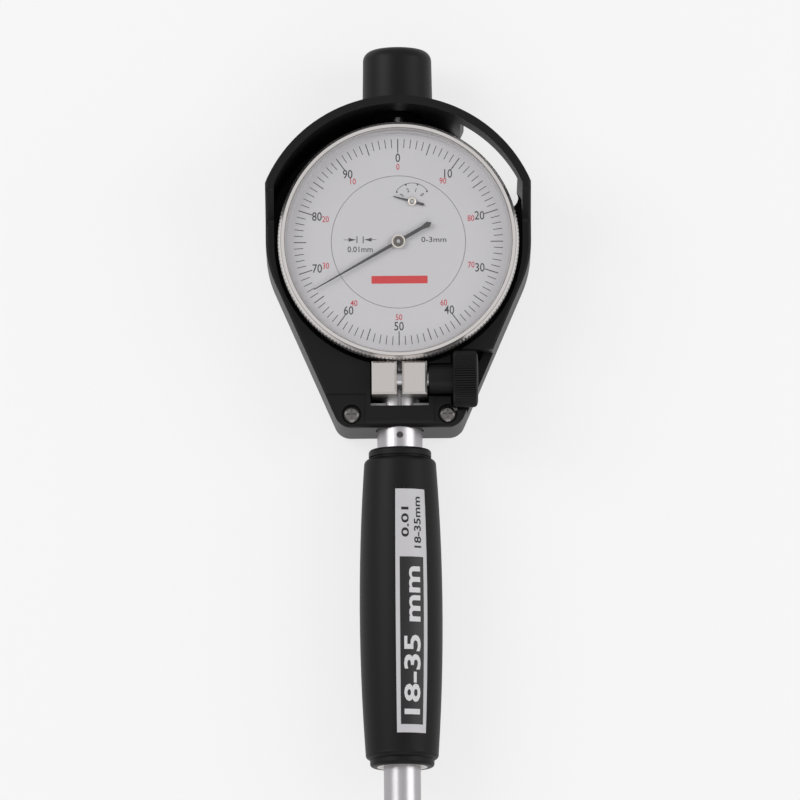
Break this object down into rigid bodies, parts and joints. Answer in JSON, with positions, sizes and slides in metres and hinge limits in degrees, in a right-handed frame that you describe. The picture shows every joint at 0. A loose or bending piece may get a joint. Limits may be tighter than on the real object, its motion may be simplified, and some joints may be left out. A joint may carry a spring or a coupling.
{
  "type": "dial bore gauge",
  "caption": "Dial bore gauge, 18-35 mm, with black moulded guard, 0.01 mm dial indicator, barrel grip and tube with plunger, anvil and centring bridge.",
  "frame": {"origin": "on the dial's axis, on the flat back of the guard", "axes": "+Y along the instrument towards the cap over the spindle, +Z out of the dial's face, +X to the right seen from the front"},
  "size_m": [0.0644, 0.285, 0.029],
  "materials": {
    "black_plastic": "moulded, fine satin",
    "grip_plastic": "moulded, fine satin",
    "satin_chrome": "satin",
    "nickel": "nickel plated, satin",
    "steel": "ground",
    "dark_steel": "blackened",
    "spring_steel": "drawn",
    "carbide": "polished",
    "zinc_casting": "as cast",
    "brass": "turned",
    "bezel_aluminium": "turned, matt chromed",
    "dial_paint": "matt light grey",
    "crystal_clear": "clear",
    "hand_white": "matt",
    "hand_dark": "matt"
  },
  "bodies": {
    "gauge_body": {"guard_shell": "black_plastic", "guard_screws": "dark_steel", "neck_tube": "satin_chrome", "neck_bracket": "zinc_casting", "neck_set_screw": "dark_steel", "clamp_collar": "nickel", "handle_grip": "grip_plastic", "handle_ferrule": "nickel", "measuring_tube": "satin_chrome", "upper_rod_bush": "brass", "spring_seat_bush": "brass", "lower_rod_bush": "brass", "push_rod_spring": "spring_steel", "head_body": "satin_chrome", "head_end_cap": "satin_chrome", "end_cap_screw": "dark_steel", "bell_crank_pin": "steel", "plunger_bush": "satin_chrome", "bridge_guide_screws": "dark_steel", "bridge_springs": "spring_steel", "anvil": "steel", "anvil_tip": "carbide", "anvil_lock_nut": "nickel", "indicator_case": "satin_chrome", "indicator_stem": "satin_chrome", "back_cover": "satin_chrome", "back_cover_screws": "nickel", "bezel_spring": "spring_steel", "dial_centre": "dial_paint", "spindle_top_bush": "brass", "movement_base_plate": "brass", "movement_top_plate": "brass", "movement_pillars": "brass", "centre_cock": "brass", "hairspring": "spring_steel", "return_spring": "spring_steel"},
    "bezel": {"bezel": "bezel_aluminium", "crystal": "crystal_clear", "dial_ring": "dial_paint"},
    "clamp_knob": {"clamp_knob": "black_plastic", "clamp_screw": "brass"},
    "push_rod": {"push_rod": "steel"},
    "spindle": {"spindle": "steel", "contact_point": "steel", "spindle_guide_pin": "steel"},
    "rack_arbor": {"rack_pinion": "steel", "drive_wheel": "brass"},
    "centre_arbor": {"centre_pinion": "steel", "main_hand": "hand_white", "main_hand_bush": "hand_dark"},
    "counter_arbor": {"counter_arbor": "steel", "take_up_wheel": "brass", "counter_hand": "hand_dark"},
    "bell_crank": {"bell_crank": "steel"},
    "plunger": {"measuring_plunger": "steel", "plunger_tip": "carbide"},
    "centring_bridge": {"centring_bridge": "satin_chrome"}
  },
  "joints": [
    {"name": "push_rod_slide", "type": "slide", "parent": "gauge_body", "child": "push_rod", "axis": [0, 1, 0], "range_m": [0, 0.0012], "stiffness_N_per_m": 300, "springref_m": -0.003, "deforming": ["push_rod_spring"]},
    {"name": "plunger_slide", "type": "slide", "parent": "gauge_body", "child": "plunger", "axis": [1, 0, 0], "range_m": [0, 0.0012]},
    {"name": "bell_crank_turn", "type": "hinge", "parent": "gauge_body", "child": "bell_crank", "pos_m": [-0.0032, -0.2258, 0.013], "axis": [0, 0, 1], "range_deg": [0, 21.6]},
    {"name": "spindle_slide", "type": "slide", "parent": "gauge_body", "child": "spindle", "axis": [0, 1, 0], "range_m": [0, 0.0012], "deforming": ["return_spring"]},
    {"name": "rack_arbor_turn", "type": "hinge", "parent": "gauge_body", "child": "rack_arbor", "pos_m": [-0.0034, -0.0099, 0.013], "axis": [0, 0, 1], "range_deg": [0, 43.3]},
    {"name": "centre_arbor_turn", "type": "hinge", "parent": "gauge_body", "child": "centre_arbor", "pos_m": [0, 0, 0.02], "axis": [0, 0, 1], "range_deg": [-433, 0]},
    {"name": "counter_arbor_turn", "type": "hinge", "parent": "gauge_body", "child": "counter_arbor", "pos_m": [0.0034, 0.0099, 0.02], "axis": [0, 0, 1], "range_deg": [0, 43.3], "deforming": ["hairspring"]},
    {"name": "bezel_turn", "type": "hinge", "parent": "gauge_body", "child": "bezel", "pos_m": [0, 0, 0.022], "axis": [0, 0, 1], "continuous": true},
    {"name": "clamp_knob_turn", "type": "hinge", "parent": "gauge_body", "child": "clamp_knob", "pos_m": [0.013, -0.0336, 0.0208], "axis": [1, 0, 0], "range_deg": [0, 360]},
    {"name": "bridge_slide", "type": "slide", "parent": "gauge_body", "child": "centring_bridge", "axis": [1, 0, 0], "range_m": [0, 0.00095], "stiffness_N_per_m": 800, "springref_m": -0.002, "deforming": ["bridge_springs"]}
  ],
  "couplings": [
    {"joint": "plunger_slide", "follows": "push_rod_slide", "ratio": 1},
    {"joint": "bell_crank_turn", "follows": "push_rod_slide", "rad_per_m": 312.5},
    {"joint": "spindle_slide", "follows": "push_rod_slide", "ratio": 1},
    {"joint": "rack_arbor_turn", "follows": "push_rod_slide", "rad_per_m": 628.32},
    {"joint": "centre_arbor_turn", "follows": "push_rod_slide", "rad_per_m": -6283.2},
    {"joint": "counter_arbor_turn", "follows": "push_rod_slide", "rad_per_m": 628.32}
  ]
}
